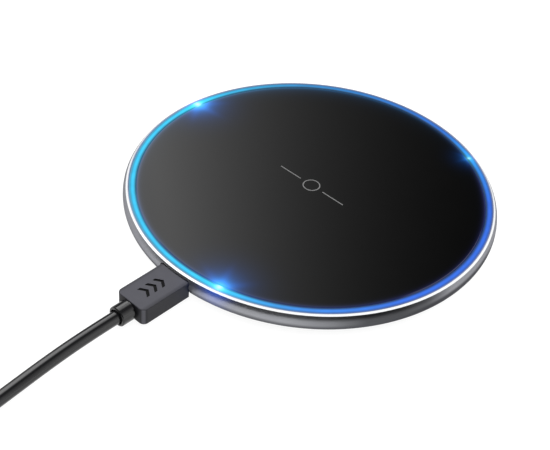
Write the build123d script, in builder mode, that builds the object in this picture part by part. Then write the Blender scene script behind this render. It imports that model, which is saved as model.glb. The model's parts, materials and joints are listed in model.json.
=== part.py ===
"""A round wireless charging pad with a plug-in USB lead.

The pad is a sandwich 7.8 mm thick: a black glass disc and a clear light ring sit flush in a
gunmetal aluminium shell, a moulded cover with a rubber foot closes the underside, and the
transmit coil, its ferrite and an annular circuit board lie between. The lead plugs into the
shell's edge, runs along the table and ends in a coil and a USB-A plug.

Millimetres, +Z up. The origin is the centre of the base on the table, and the port faces -Y.
"""

import os
from math import atan2, cos, degrees, hypot, pi, radians, sin, tan

from build123d import *

os.makedirs("parts", exist_ok=True)

# ---- driving dimensions -------------------------------------------------------------------
PAD_R = 50.2  # widest radius of the shell
PAD_H = 7.8  # top of the glass above the table
FOOT_PROUD = 0.8  # how far the rubber foot stands below the cover

# shell section
SHELL_LIP_R = 48.7  # inside edge of the shell at the top
SHELL_LIP_W = 0.2  # flat top of the lip, inside the bright cut edge
BRIGHT_W = 0.5  # width of the bright chamfer
BRIGHT_DROP = 0.3  # how far the chamfer falls
WIDEST_Z = 5.3  # height of the widest point
ROUND_R = 4.0  # radial size of the rounded side
ROUND_DOWN = 3.5  # vertical size of the rounding below the widest point
SHOULDER = (0.17, 1.1)  # a point of the rounding above it: this far in, and this far up
SHOULDER_LEAN = 0.84  # how far the side leans in for each step up where it meets the chamfer
SHELL_INNER_R = 47.3  # bore above the flange
LEDGE_Z = 6.0  # the light ring stands on this step
FLANGE_R = 41.5  # inner edge of the screw flange
FLANGE_T = 0.9
COVER_SEAT_Z = 2.0  # underside of the flange, where the cover lands

# glass, light ring, cover and foot
GLASS_R = 46.65
GLASS_T = 1.2
ADHESIVE_T = 0.1
RING_IN_R = 46.75
RING_OUT_R = 48.6
RING_SHELF_R = 44.8  # inner edge of the shelf that carries the glass
COVER_R = 45.6
COVER_T = COVER_SEAT_Z - FOOT_PROUD
FOOT_IN_R = 39.2
FOOT_OUT_R = 44.6
FOOT_GROOVE = 0.2
SCREW_CIRCLE_R = 43.0
SCREW_ANGLES = (45, 135, 225, 315)
SCREW_R = 0.95
SCREW_HOLE_R = 1.0
SCREW_HEAD_R = 1.8
SCREW_HEAD_T = 0.8

# board
BOARD_Z = 3.0
BOARD_T = 0.8
BOARD_TOP = BOARD_Z + BOARD_T
BOARD_IN_R = 29.0
BOARD_OUT_R = 46.4
PIN_CIRCLE_R = 36.0
PIN_ANGLES = (30, 120, 210, 330)
PIN_R = 1.0

# coil stack
WIRE_D = 1.0
COIL_TURNS = 10
COIL_PITCH = 1.2
COIL_START_R = 10.8
COIL_Z = 5.95  # centre of the wire
FERRITE_R = 25.0
FERRITE_Z = (4.55, 5.4)
CARRIER_Z = (3.9, 4.5)
CARRIER_IN_R = 12.0
CARRIER_RIM_R = (25.3, 26.9)
CARRIER_RIM_TOP = 6.3
LEAD_Z = 4.9  # the inner end runs out below the turns at this height

# port: everything in it is centred on this height
PORT_Z = 4.2
PORT_FACE_Y = -49.3  # bottom of the recess that the plug's body enters
RECEPTACLE_Y = (-49.1, -41.5)
RECEPTACLE = (8.94, 3.16)
RECEPTACLE_BORE = (8.44, 2.66)
TONGUE = (6.7, 0.7)
TONGUE_TIP_Y = -47.8
TONGUE_ROOT_Y = -42.6
PLUG_MOUTH = (8.34, 2.56)
PLUG_BORE = (7.8, 2.02)
PLUG_TIP_Y = -42.75
PLUG_BURIED_Y = -52.5
PLUG_CAVITY = (6.95, 1.2)
PLUG_CAVITY_END_Y = -48.1

# plug body and its collar
BODY_W = 9.7
BODY_T = 5.0
BODY_Y = (-64.2, -49.4)
BODY_EDGE_R = 0.35
COLLAR_R = 2.65
COLLAR_END_Y = -68.4
NECK_R = 2.15  # a narrow neck leaves a groove between the moulding and the collar
NECK_LONG = 0.5
COLLAR_BORE_R = 2.05
COLLAR_BORE_DEEP = 0.9
RECESS_GAP = 0.3

# cord
CORD_D = 3.4
CORD_R = CORD_D / 2
RUN_ROUTE = [
    (0.0, -67.5, 4.2),
    (0.0, -77.5, 4.2),
    (0.1, -89.0, 3.5),
    (0.4, -102.0, 2.2),
    (1.2, -115.0, 1.75),
    (2.8, -127.0, 1.75),
    (4.4, -137.0, 1.9),
    (5.3, -146.0, 2.2),
]
WINDING_CENTRE = (-20.0, -146.0)
WINDING_OUT_R = 25.3  # centreline of the outermost turn
WINDING_IN_R = 12.2  # and of the innermost
WINDING_BOTTOM = 0.5  # the tie passes under the turns
WINDING_LAYERS = 2
TAIL_ROUTE = [
    (-45.3, -146.0, 5.6),
    (-45.5, -139.5, 5.35),
    (-46.3, -133.0, 4.3),
    (-47.0, -127.8, 3.7),
    (-47.0, -122.5, 3.7),
]
TIE_W = 5.0
TIE_T = 0.5

# USB-A plug, lying on the table beside the winding and pointing to +Y
USB_A_X = TAIL_ROUTE[-1][0]
USB_A_Z = TAIL_ROUTE[-1][2]
USB_A_RELIEF_Y = (TAIL_ROUTE[-1][1], -115.5)
USB_A_BODY = (15.4, 7.4)
USB_A_BODY_Y = (-115.5, -95.0)
USB_A_SHELL = (12.0, 4.5)
USB_A_SHELL_T = 0.3
USB_A_TIP_Y = -83.2
USB_A_BURIED = 3.0

# (vertical corner radius, width of the arrows) of each plug body
BODY_DETAIL = (1.5, 3.6)
USB_A_DETAIL = (2.2, 5.2)
ARROW_DEEP = 0.25


def save(part, name):
    """Labels one finished piece and writes its STEP file."""
    part.label = name
    export_step(part, f"parts/{name}.step")


def polar(radius, angle):
    """A point on a circle about the Z axis, the angle in degrees from +X."""
    return radius * cos(radians(angle)), radius * sin(radians(angle))


def facing_front(y, x=0.0, z=PORT_Z):
    """A plane across the port's axis at y: its x runs along +X, its y up, its normal to -Y."""
    return Plane(origin=(x, y, z), x_dir=(1, 0, 0), z_dir=(0, -1, 0))


def corner_radii(route):
    """For each inner corner of a route, 0.45 of its shorter run over the tangent of half the turn."""
    points = [Vector(*p) for p in route]
    radii = []
    for a, b, c in zip(points, points[1:], points[2:]):
        turn = (b - a).get_angle(c - b)
        radii.append(0.45 * min((b - a).length, (c - b).length) / tan(radians(turn / 2)))
    return radii


def tube_along(route, radius, radii=None):
    """A round tube along straight runs joined by tangent arcs."""
    radii = radii or corner_radii(route)
    with BuildPart() as tube:
        with BuildLine() as path:
            FilletPolyline(*route, radius=radii)
        heading = (Vector(*route[1]) - Vector(*route[0])).normalized()
        with BuildSketch(Plane(origin=route[0], z_dir=heading)):
            Circle(radius)
        sweep(path=path.line)
    return tube.part, sum(edge.length for edge in path.edges())


# ---- pad: glass, light ring, shell, cover, foot --------------------------------------------
def make_top_glass():
    with BuildPart() as glass:
        with BuildSketch(Plane.XY.offset(PAD_H - GLASS_T)):
            Circle(GLASS_R)
        extrude(amount=GLASS_T)
        chamfer(glass.faces().sort_by(Axis.Z)[-1].edges(), 0.2)
    save(glass.part, "top_glass")


def make_glass_adhesive():
    with BuildPart() as tape:
        with BuildSketch(Plane.XY.offset(PAD_H - GLASS_T - ADHESIVE_T)):
            Circle(GLASS_R - 0.1)
            Circle(RING_SHELF_R + 0.1, mode=Mode.SUBTRACT)
        extrude(amount=ADHESIVE_T)
    save(tape.part, "glass_adhesive")


def make_light_ring():
    """Clear ring: a wall that shows round the glass and a shelf under the glass's edge."""
    shelf_top = PAD_H - GLASS_T - ADHESIVE_T
    with BuildPart() as ring:
        with BuildSketch(Plane.XZ):
            with BuildLine():
                Polyline(
                    (RING_SHELF_R, LEDGE_Z),
                    (RING_OUT_R, LEDGE_Z),
                    (RING_OUT_R, PAD_H - 0.15),
                    (RING_OUT_R - 0.15, PAD_H),
                    (RING_IN_R + 0.15, PAD_H),
                    (RING_IN_R, PAD_H - 0.15),
                    (RING_IN_R, shelf_top),
                    (RING_SHELF_R, shelf_top),
                    close=True,
                )
            make_face()
        revolve(axis=Axis.Z)
    save(ring.part, "light_ring")


def make_metal_shell():
    """Turned aluminium ring: bright chamfer, rounded side, screw flange and the port."""
    lip_out = SHELL_LIP_R + SHELL_LIP_W
    bright_r, bright_z = lip_out + BRIGHT_W, PAD_H - BRIGHT_DROP
    centre = (PAD_R - ROUND_R, WIDEST_Z)
    bottom_z = WIDEST_Z - ROUND_DOWN
    flange_top = COVER_SEAT_Z + FLANGE_T
    seat_r = COVER_R + 0.1
    with BuildPart() as shell:
        with BuildSketch(Plane.XZ):
            with BuildLine():
                lower = EllipticalCenterArc(centre, ROUND_R, ROUND_DOWN, start_angle=-90, arc_size=90)
                Spline(
                    lower @ 1,
                    (PAD_R - SHOULDER[0], WIDEST_Z + SHOULDER[1]),
                    (bright_r, bright_z),
                    tangents=[(0, 1), (-SHOULDER_LEAN, 1)],
                )
                Polyline(
                    (bright_r, bright_z),
                    (lip_out, PAD_H),
                    (SHELL_LIP_R, PAD_H),
                    (SHELL_LIP_R, LEDGE_Z),
                    (SHELL_INNER_R, LEDGE_Z),
                    (SHELL_INNER_R, flange_top),
                    (FLANGE_R, flange_top),
                    (FLANGE_R, COVER_SEAT_Z),
                    (seat_r, COVER_SEAT_Z),
                    (seat_r, bottom_z),
                    lower @ 0,
                )
            make_face()
        revolve(axis=Axis.Z)
        # recess for the plug's body, from the outside in
        with BuildSketch(facing_front(PORT_FACE_Y)):
            RectangleRounded(BODY_W + 2 * RECESS_GAP, BODY_T + 2 * RECESS_GAP, 0.8)
        extrude(amount=8, mode=Mode.SUBTRACT)
        # slot for the receptacle through the rest of the wall and the flange
        with BuildSketch(facing_front(-FLANGE_R + 2)):
            Rectangle(RECEPTACLE[0] + 1.4, RECEPTACLE[1] + 0.3)
        extrude(amount=-PORT_FACE_Y - FLANGE_R + 2.5, mode=Mode.SUBTRACT)
        with Locations(*[(*polar(SCREW_CIRCLE_R, a), flange_top) for a in SCREW_ANGLES]):
            Hole(SCREW_HOLE_R, depth=FLANGE_T + 0.5)
    save(shell.part, "metal_shell")


def make_bottom_cover():
    """Moulded cover: foot groove, countersunk screw holes, board pins, vents and a shallow panel."""
    boss_r = 2.2
    with BuildPart() as cover:
        with BuildSketch(Plane.XY.offset(FOOT_PROUD)):
            Circle(COVER_R)
        extrude(amount=COVER_T)
        chamfer(cover.faces().sort_by(Axis.Z)[0].edges(), 0.3)
        with BuildSketch(Plane.XY.offset(FOOT_PROUD)):
            Circle(FOOT_OUT_R + 0.1)
            Circle(FOOT_IN_R - 0.1, mode=Mode.SUBTRACT)
        extrude(amount=FOOT_GROOVE, mode=Mode.SUBTRACT)
        # shallow round panel in the middle of the underside
        with BuildSketch(Plane.XY.offset(FOOT_PROUD)):
            Circle(17)
        extrude(amount=0.15, mode=Mode.SUBTRACT)
        # bosses and pins that carry the board
        with BuildSketch(Plane.XY.offset(COVER_SEAT_Z)):
            with Locations(*[polar(PIN_CIRCLE_R, a) for a in PIN_ANGLES]):
                Circle(boss_r)
        extrude(amount=BOARD_Z - COVER_SEAT_Z)
        with BuildSketch(Plane.XY.offset(BOARD_Z)):
            with Locations(*[polar(PIN_CIRCLE_R, a) for a in PIN_ANGLES]):
                Circle(PIN_R)
        extrude(amount=BOARD_T + 0.4)
        # vents: a ring of short slots outside the panel
        with BuildSketch(Plane.XY.offset(FOOT_PROUD)):
            with PolarLocations(31.5, 24):
                SlotOverall(4.0, 1.0)
        extrude(amount=COVER_T, mode=Mode.SUBTRACT)
        for angle in SCREW_ANGLES:
            plane = Plane(
                origin=(*polar(SCREW_CIRCLE_R, angle), FOOT_PROUD + FOOT_GROOVE),
                z_dir=(0, 0, -1),
            )
            with Locations(plane):
                CounterSinkHole(SCREW_HOLE_R, SCREW_HEAD_R + 0.05, depth=COVER_T + 1)
    save(cover.part, "bottom_cover")


def make_foot_ring():
    with BuildPart() as foot:
        with BuildSketch():
            Circle(FOOT_OUT_R)
            Circle(FOOT_IN_R, mode=Mode.SUBTRACT)
        extrude(amount=FOOT_PROUD + FOOT_GROOVE)
        fillet(foot.faces().sort_by(Axis.Z)[0].edges(), 0.3)
    save(foot.part, "foot_ring")


def make_cover_screws():
    """Four countersunk screws with crossed recesses, under the foot."""
    head_z = FOOT_PROUD + FOOT_GROOVE
    with BuildPart() as screws:
        for angle in SCREW_ANGLES:
            x, y = polar(SCREW_CIRCLE_R, angle)
            with BuildSketch(Plane.XY.offset(head_z)):
                with Locations((x, y)):
                    Circle(SCREW_HEAD_R)
            with BuildSketch(Plane.XY.offset(head_z + SCREW_HEAD_T)):
                with Locations((x, y)):
                    Circle(SCREW_R)
            loft()
            with BuildSketch(Plane.XY.offset(head_z + SCREW_HEAD_T)):
                with Locations((x, y)):
                    Circle(SCREW_R)
            extrude(amount=COVER_SEAT_Z + FLANGE_T - head_z - SCREW_HEAD_T)
            with BuildSketch(Plane.XY.offset(head_z)):
                with Locations((x, y)):
                    Rectangle(1.8, 0.4)
                    Rectangle(0.4, 1.8)
            extrude(amount=0.45, mode=Mode.SUBTRACT)
    save(screws.part, "cover_screws")


# ---- board and what stands on it -----------------------------------------------------------
LED_ANGLES = (176.3, 63.2, 284.2)
LED_R = 44.6
LED_SIZE = (2.8, 2.0, 1.4)


def make_main_board():
    with BuildPart() as board:
        with BuildSketch(Plane.XY.offset(BOARD_Z)):
            Circle(BOARD_OUT_R)
            Circle(BOARD_IN_R, mode=Mode.SUBTRACT)
            with Locations((0, -46.5)):
                Rectangle(RECEPTACLE[0] + 0.3, 11.6, mode=Mode.SUBTRACT)
            with Locations(*[polar(PIN_CIRCLE_R, a) for a in PIN_ANGLES]):
                Circle(PIN_R + 0.1, mode=Mode.SUBTRACT)
        extrude(amount=BOARD_T)
    save(board.part, "main_board")


def chips_on_board(name, size, places, edge=0.0):
    """Identical box-shaped parts on the board's top.

    places are (radius, angle), and size is (along the circle, across it, high).
    """
    with BuildPart() as group:
        for radius, angle in places:
            plane = Plane.XY.offset(BOARD_TOP).rotated((0, 0, angle - 90))
            with BuildSketch(plane):
                with Locations((0, radius)):
                    Rectangle(size[0], size[1])
            extrude(amount=size[2])
        if edge:
            chamfer(group.faces().group_by(Axis.Z)[-1].edges(), edge)
    save(group.part, name)


def make_board_parts():
    for number, angle in enumerate(LED_ANGLES, start=1):
        make_led(f"status_led_{number}", angle)
    chips_on_board("controller_chip", (5.0, 5.0, 0.9), [(37.0, 255)], 0.1)
    chips_on_board(
        "bridge_transistors", (3.3, 3.3, 0.9), [(37.0, a) for a in (308, 315, 322, 300)], 0.1
    )
    chips_on_board(
        "resonance_capacitors", (4.5, 3.2, 2.0), [(38.0, a) for a in (350, 358, 6, 14)], 0.2
    )
    chips_on_board("crystal", (3.2, 2.5, 0.7), [(32.2, 247)], 0.15)
    passives = [(34.0 + 1.6 * (i % 3), 226 + 1.9 * i) for i in range(8)]
    passives += [(41.5, 250 + 2.2 * i) for i in range(6)]
    passives += [(41.5, 298 + 2.2 * i) for i in range(6)]
    chips_on_board("chip_passives", (1.0, 0.5, 0.45), passives)
    make_buck_inductor()
    make_input_capacitors()


def make_led(name, angle):
    """A white-bodied LED: a box with a round window sunk in its top."""
    with BuildPart() as led:
        with BuildSketch(Plane.XY.offset(BOARD_TOP).rotated((0, 0, angle - 90))):
            with Locations((0, LED_R)):
                Rectangle(LED_SIZE[0], LED_SIZE[1])
        extrude(amount=LED_SIZE[2])
        with BuildSketch(Plane.XY.offset(BOARD_TOP + LED_SIZE[2])):
            with Locations(polar(LED_R, angle)):
                Circle(0.75)
        extrude(amount=-0.3, mode=Mode.SUBTRACT)
    save(led.part, name)


def make_buck_inductor():
    with BuildPart() as inductor:
        with BuildSketch(Plane.XY.offset(BOARD_TOP)):
            with Locations(polar(37.0, 285)):
                RectangleRounded(5.0, 5.0, 0.8)
        extrude(amount=2.0)
        chamfer(inductor.faces().sort_by(Axis.Z)[-1].edges(), 0.25)
    save(inductor.part, "buck_inductor")


def make_input_capacitors():
    with BuildPart() as capacitors:
        with BuildSketch(Plane.XY.offset(BOARD_TOP)):
            with Locations(*[polar(33.0, a) for a in (262, 271)]):
                Circle(1.9)
        extrude(amount=2.2)
        chamfer(capacitors.faces().group_by(Axis.Z)[-1].edges(), 0.2)
    save(capacitors.part, "input_capacitors")


# ---- receptacle ----------------------------------------------------------------------------
def flat_tube(outer, inner, y_range, z=PORT_Z):
    """A round-ended tube along Y, open at both ends."""
    with BuildPart() as tube:
        with BuildSketch(facing_front(y_range[1], z=z)):
            SlotOverall(*outer)
            SlotOverall(*inner, mode=Mode.SUBTRACT)
        extrude(amount=y_range[1] - y_range[0])
    return tube.part


def make_receptacle():
    tube = flat_tube(RECEPTACLE, RECEPTACLE_BORE, RECEPTACLE_Y)
    with BuildPart() as shell:
        add(tube)
        # solder tabs on the board, one each side at front and back
        for y in (-46.8, -43.1):
            for side in (-1, 1):
                with BuildSketch(Plane.XY.offset(BOARD_TOP)):
                    with Locations((side * (RECEPTACLE[0] / 2 + 0.2), y)):
                        Rectangle(0.9, 1.3)
                extrude(amount=0.4)
        with BuildSketch(facing_front(RECEPTACLE_Y[1])):
            SlotOverall(*RECEPTACLE_BORE)
        extrude(amount=RECEPTACLE_Y[1] - RECEPTACLE_Y[0], mode=Mode.SUBTRACT)
    save(shell.part, "usb_receptacle_shell")

    with BuildPart() as tongue:
        with BuildSketch(facing_front(RECEPTACLE_Y[1])):
            SlotOverall(RECEPTACLE_BORE[0] - 0.04, RECEPTACLE_BORE[1] - 0.04)
        extrude(amount=RECEPTACLE_Y[1] - TONGUE_ROOT_Y)
        with BuildSketch(facing_front(TONGUE_ROOT_Y)):
            Rectangle(*TONGUE)
        extrude(amount=TONGUE_ROOT_Y - TONGUE_TIP_Y)
    save(tongue.part, "receptacle_tongue")

    with BuildPart() as contacts:
        for side in (-1, 1):
            with BuildSketch(facing_front(TONGUE_ROOT_Y - 0.5)):
                with Locations((0, side * (TONGUE[1] / 2 + 0.02))):
                    with GridLocations(1.0, 1.0, 6, 1):
                        Rectangle(0.3, 0.04)
            extrude(amount=3.6)
    save(contacts.part, "receptacle_contacts")


# ---- coil stack ----------------------------------------------------------------------------
OUTER_LEAD = [
    (22.8, 0.0, COIL_Z),
    (22.8, 3.0, COIL_Z),
    (24.6, 6.0, COIL_Z),
    (28.0, 8.0, 5.6),
    (31.0, 9.6, BOARD_TOP + WIRE_D / 2),
]
INNER_LEAD = [
    (COIL_START_R, 0.0, COIL_Z),
    (COIL_START_R, -1.4, COIL_Z),
    (9.9, -3.2, 5.4),
    (9.9, -5.0, LEAD_Z),
    (12.4, -6.4, LEAD_Z),
    (24.5, -10.2, LEAD_Z),
    (30.6, -12.2, BOARD_TOP + WIRE_D / 2),
]


def lead_channel():
    """Outline of the channel along the inner lead's way out under the turns."""
    start, end = INNER_LEAD[4], INNER_LEAD[5]
    angle = degrees(atan2(end[1] - start[1], end[0] - start[0]))
    length = hypot(end[0] - start[0], end[1] - start[1])
    with BuildSketch() as channel:
        with Locations(((start[0] + end[0]) / 2, (start[1] + end[1]) / 2)):
            Rectangle(length + 7.5, 2.6, rotation=angle)
        with Locations((INNER_LEAD[2][0], (INNER_LEAD[2][1] + INNER_LEAD[3][1]) / 2)):
            Circle(2.4)
    return channel.sketch


def make_transmit_coil():
    """Flat spiral of half circles about two centres a quarter pitch each side of the middle."""
    quarter = COIL_PITCH / 4
    with BuildPart() as coil:
        with BuildLine() as path:
            for half in range(2 * COIL_TURNS):
                side = -1 if half % 2 == 0 else 1
                radius = COIL_START_R + quarter * (2 * half + 1)
                start_angle = 0 if half % 2 == 0 else 180
                CenterArc((side * quarter, 0, COIL_Z), radius, start_angle, 180)
        with BuildSketch(Plane(origin=(COIL_START_R, 0, COIL_Z), z_dir=(0, 1, 0))):
            Circle(WIRE_D / 2)
        sweep(path=path.line)
    save(coil.part, "transmit_coil")


def make_coil_leads():
    leads = [
        tube_along(route, WIRE_D / 2, [radius] * (len(route) - 2))[0]
        for route, radius in ((OUTER_LEAD, 1.2), (INNER_LEAD, 0.7))
    ]
    save(Compound(children=leads), "coil_leads")


def make_ferrite_plate():
    channel = lead_channel()
    with BuildPart() as ferrite:
        with BuildSketch(Plane.XY.offset(FERRITE_Z[0])):
            Circle(FERRITE_R)
            add(channel, mode=Mode.SUBTRACT)
        extrude(amount=FERRITE_Z[1] - FERRITE_Z[0])
    save(ferrite.part, "ferrite_plate")


def make_coil_carrier():
    """Tray under the ferrite, with a rim round it and three legs down to the cover."""
    channel = lead_channel()
    with BuildPart() as carrier:
        with BuildSketch(Plane.XY.offset(CARRIER_Z[0])):
            Circle(CARRIER_RIM_R[1])
            Circle(CARRIER_IN_R, mode=Mode.SUBTRACT)
        extrude(amount=CARRIER_Z[1] - CARRIER_Z[0])
        with BuildSketch(Plane.XY.offset(CARRIER_Z[1])):
            Circle(CARRIER_RIM_R[1])
            Circle(CARRIER_RIM_R[0], mode=Mode.SUBTRACT)
        extrude(amount=CARRIER_RIM_TOP - CARRIER_Z[1])
        with BuildSketch(Plane.XY.offset(COVER_SEAT_Z)):
            with PolarLocations(23.5, 3, start_angle=90):
                Circle(1.6)
        extrude(amount=CARRIER_Z[0] - COVER_SEAT_Z)
        with BuildSketch(Plane.XY.offset(CARRIER_Z[0])):
            add(channel)
        extrude(amount=CARRIER_RIM_TOP - CARRIER_Z[0], mode=Mode.SUBTRACT)
        # notch in the rim for the outer lead
        with BuildSketch(Plane.XY.offset(CARRIER_Z[1] + 0.4)):
            with Locations((25.4, 6.8)):
                Rectangle(6.5, 4.2, rotation=35)
        extrude(amount=3, mode=Mode.SUBTRACT)
    save(carrier.part, "coil_carrier")


def make_thermal_pad():
    with BuildPart() as pad:
        with BuildSketch(Plane.XY.offset(COVER_SEAT_Z)):
            RectangleRounded(14, 14, 1.0)
        extrude(amount=FERRITE_Z[0] - COVER_SEAT_Z)
    save(pad.part, "thermal_pad")


def make_thermistor():
    """Glass bead on the ferrite in the middle of the coil, lying along Y."""
    with BuildPart() as bead:
        with BuildSketch(Plane.XY.offset(FERRITE_Z[1])):
            SlotOverall(4.2, 1.1, rotation=90)
        extrude(amount=1.0)
        fillet(bead.faces().sort_by(Axis.Z)[-1].edges(), 0.3)
    save(bead.part, "thermistor")


# ---- pad end of the lead -------------------------------------------------------------------
def arrow(width):
    """One open arrowhead pointing to +Y."""
    half, rise, thick = width / 2, 0.32 * width, 0.26 * width
    with BuildSketch() as head:
        with BuildLine():
            Polyline(
                (-half, 0),
                (0, rise),
                (half, 0),
                (half, thick),
                (0, rise + thick),
                (-half, thick),
                close=True,
            )
        make_face()
    return head.sketch


def plug_body(name, size, y_range, centre, mouth, mouth_depth, detail):
    """A flat moulded body, square towards +Y and rounded in plan at the cord's end.

    size is (width, thickness), centre is (x, z), and three arrows sunk in the top point to +Y.
    """
    (width, thick), (x, z), (corner_r, arrow_w) = size, centre, detail
    middle_y = (y_range[0] + y_range[1]) / 2
    head = arrow(arrow_w)
    with BuildPart() as body:
        with BuildSketch(Plane.XY.offset(z - thick / 2)):
            with Locations((x, middle_y)):
                Rectangle(width, y_range[1] - y_range[0])
        extrude(amount=thick)
        fillet(body.edges().filter_by(Axis.Z).group_by(Axis.Y)[0], corner_r)
        fillet(body.faces().filter_by(Axis.Z).edges(), BODY_EDGE_R)
        with BuildSketch(facing_front(y_range[1], x=x, z=z)):
            add(mouth)
        extrude(amount=mouth_depth, mode=Mode.SUBTRACT)
        with BuildSketch(Plane.XY.offset(z + thick / 2)):
            with Locations((x, middle_y - 0.3 * arrow_w)):
                with GridLocations(1, 0.68 * arrow_w, 1, 3):
                    add(head)
        extrude(amount=-ARROW_DEEP, mode=Mode.SUBTRACT)
    save(body.part, name)


def make_pad_plug():
    with BuildSketch() as mouth:
        SlotOverall(*PLUG_MOUTH)
    plug_body(
        "pad_plug_body",
        (BODY_W, BODY_T),
        BODY_Y,
        (0, PORT_Z),
        mouth.sketch,
        BODY_Y[1] - PLUG_BURIED_Y,
        BODY_DETAIL,
    )
    save(flat_tube(PLUG_MOUTH, PLUG_BORE, (PLUG_BURIED_Y, PLUG_TIP_Y)), "pad_plug_shell")

    with BuildPart() as insert:
        with BuildSketch(facing_front(PLUG_TIP_Y - 0.1)):
            SlotOverall(PLUG_BORE[0] - 0.04, PLUG_BORE[1] - 0.04)
        extrude(amount=PLUG_TIP_Y - 0.1 - PLUG_BURIED_Y)
        with BuildSketch(facing_front(PLUG_TIP_Y)):
            Rectangle(*PLUG_CAVITY)
        extrude(amount=PLUG_TIP_Y - PLUG_CAVITY_END_Y, mode=Mode.SUBTRACT)
    save(insert.part, "pad_plug_insert")

    with BuildPart() as contacts:
        for side in (-1, 1):
            with BuildSketch(facing_front(PLUG_TIP_Y - 1.0)):
                with Locations((0, side * (PLUG_CAVITY[1] / 2 - 0.07))):
                    with GridLocations(1.0, 1.0, 6, 1):
                        Rectangle(0.3, 0.14)
            extrude(amount=3.5)
    save(contacts.part, "pad_plug_contacts")

    with BuildPart() as collar:
        with BuildSketch(facing_front(BODY_Y[0])):
            Circle(NECK_R)
        extrude(amount=NECK_LONG)
        with BuildSketch(facing_front(BODY_Y[0] - NECK_LONG)):
            Circle(COLLAR_R)
        extrude(amount=BODY_Y[0] - NECK_LONG - COLLAR_END_Y)
        with BuildSketch(facing_front(COLLAR_END_Y + COLLAR_BORE_DEEP)):
            Circle(COLLAR_BORE_R)
        extrude(amount=COLLAR_BORE_DEEP, mode=Mode.SUBTRACT)
        fillet(collar.faces().sort_by(Axis.Y)[0].outer_wire().edges(), 0.35)
    save(collar.part, "pad_plug_strain_relief")


# ---- cord, winding and tie -----------------------------------------------------------------
def make_cord():
    for name, route in (("cord_run", RUN_ROUTE), ("cord_tail", TAIL_ROUTE)):
        tube, length = tube_along(route, CORD_R)
        radii = [round(r, 1) for r in corner_radii(route)]
        section = pi * CORD_R**2 * length
        print(name, "radii", radii, "length", round(length, 1))
        print(name, "volume", round(tube.volume, 1), "section times length", round(section, 1))
        save(tube, name)

    with BuildPart() as winding:
        with BuildSketch(Plane.XY.offset(WINDING_BOTTOM)):
            with Locations(WINDING_CENTRE):
                Circle(WINDING_OUT_R + CORD_R)
                Circle(WINDING_IN_R - CORD_R, mode=Mode.SUBTRACT)
        extrude(amount=WINDING_LAYERS * CORD_D)
        fillet(winding.faces().filter_by(Axis.Z).edges(), 1.5)
    save(winding.part, "cord_coil")


def make_coil_tie():
    """Strap round the winding on its -Y side."""
    inner_w = WINDING_OUT_R - WINDING_IN_R + CORD_D + 0.6
    inner_h = WINDING_LAYERS * CORD_D + 0.1
    middle_y = WINDING_CENTRE[1] - (WINDING_OUT_R + WINDING_IN_R) / 2 + 0.15
    middle_z = WINDING_BOTTOM + WINDING_LAYERS * CORD_D / 2
    with BuildPart() as tie:
        with BuildSketch(Plane.YZ.offset(WINDING_CENTRE[0] - TIE_W / 2)):
            with Locations((middle_y, middle_z)):
                RectangleRounded(inner_w + 2 * TIE_T, inner_h + 2 * (TIE_T - 0.05), 1.9)
                RectangleRounded(inner_w, inner_h, 1.4, mode=Mode.SUBTRACT)
        extrude(amount=TIE_W)
    save(tie.part, "coil_tie")


# ---- USB-A end -----------------------------------------------------------------------------
def make_usb_a_plug():
    shell_w, shell_h = USB_A_SHELL
    buried_y = USB_A_BODY_Y[1] - USB_A_BURIED
    bore_w, bore_h = shell_w - 2 * USB_A_SHELL_T, shell_h - 2 * USB_A_SHELL_T
    with BuildSketch() as mouth:
        RectangleRounded(shell_w, shell_h, 0.5)
    plug_body(
        "usb_a_body",
        USB_A_BODY,
        USB_A_BODY_Y,
        (USB_A_X, USB_A_Z),
        mouth.sketch,
        USB_A_BURIED,
        USB_A_DETAIL,
    )

    with BuildPart() as shell:
        with BuildSketch(facing_front(USB_A_TIP_Y, x=USB_A_X, z=USB_A_Z)):
            RectangleRounded(shell_w, shell_h, 0.5)
            RectangleRounded(bore_w, bore_h, 0.2, mode=Mode.SUBTRACT)
        extrude(amount=USB_A_TIP_Y - buried_y)
        # latch windows, two above and two below
        with BuildSketch(Plane.XY.offset(USB_A_Z - shell_h)):
            with Locations((USB_A_X, USB_A_TIP_Y - 6.0)):
                with GridLocations(5.0, 1, 2, 1):
                    Rectangle(2.4, 2.0)
        extrude(amount=2 * shell_h, mode=Mode.SUBTRACT)
    save(shell.part, "usb_a_shell")

    # insulator: a block at the root and a tongue along the lower half of the mouth
    tongue_h = 1.85
    gap = 0.02
    with BuildPart() as insert:
        with BuildSketch(facing_front(buried_y + 4.0, x=USB_A_X, z=USB_A_Z)):
            RectangleRounded(bore_w - 2 * gap, bore_h - 2 * gap, 0.2)
        extrude(amount=4.0)
        tongue_z = USB_A_Z - bore_h / 2 + gap + tongue_h / 2
        with BuildSketch(facing_front(USB_A_TIP_Y - 0.4, x=USB_A_X, z=tongue_z)):
            Rectangle(bore_w - 0.4, tongue_h)
        extrude(amount=USB_A_TIP_Y - 0.4 - buried_y - 4.0)
    save(insert.part, "usb_a_insert")

    contact_z = tongue_z + tongue_h / 2
    with BuildPart() as contacts:
        with BuildSketch(Plane.XY.offset(contact_z)):
            for offset in (-3.5, -1.0, 1.0, 3.5):
                longer = 1.0 if abs(offset) > 2 else 0.0
                with Locations((USB_A_X + offset, USB_A_TIP_Y - 5.4 + longer / 2)):
                    Rectangle(1.0, 7.4 + longer)
        extrude(amount=0.15)
    save(contacts.part, "usb_a_contacts")

    with BuildPart() as relief:
        for y, radius in ((USB_A_RELIEF_Y[1], 3.0), (USB_A_RELIEF_Y[0], 2.3)):
            with BuildSketch(facing_front(y, x=USB_A_X, z=USB_A_Z)):
                Circle(radius)
        loft()
    save(relief.part, "usb_a_strain_relief")


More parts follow.
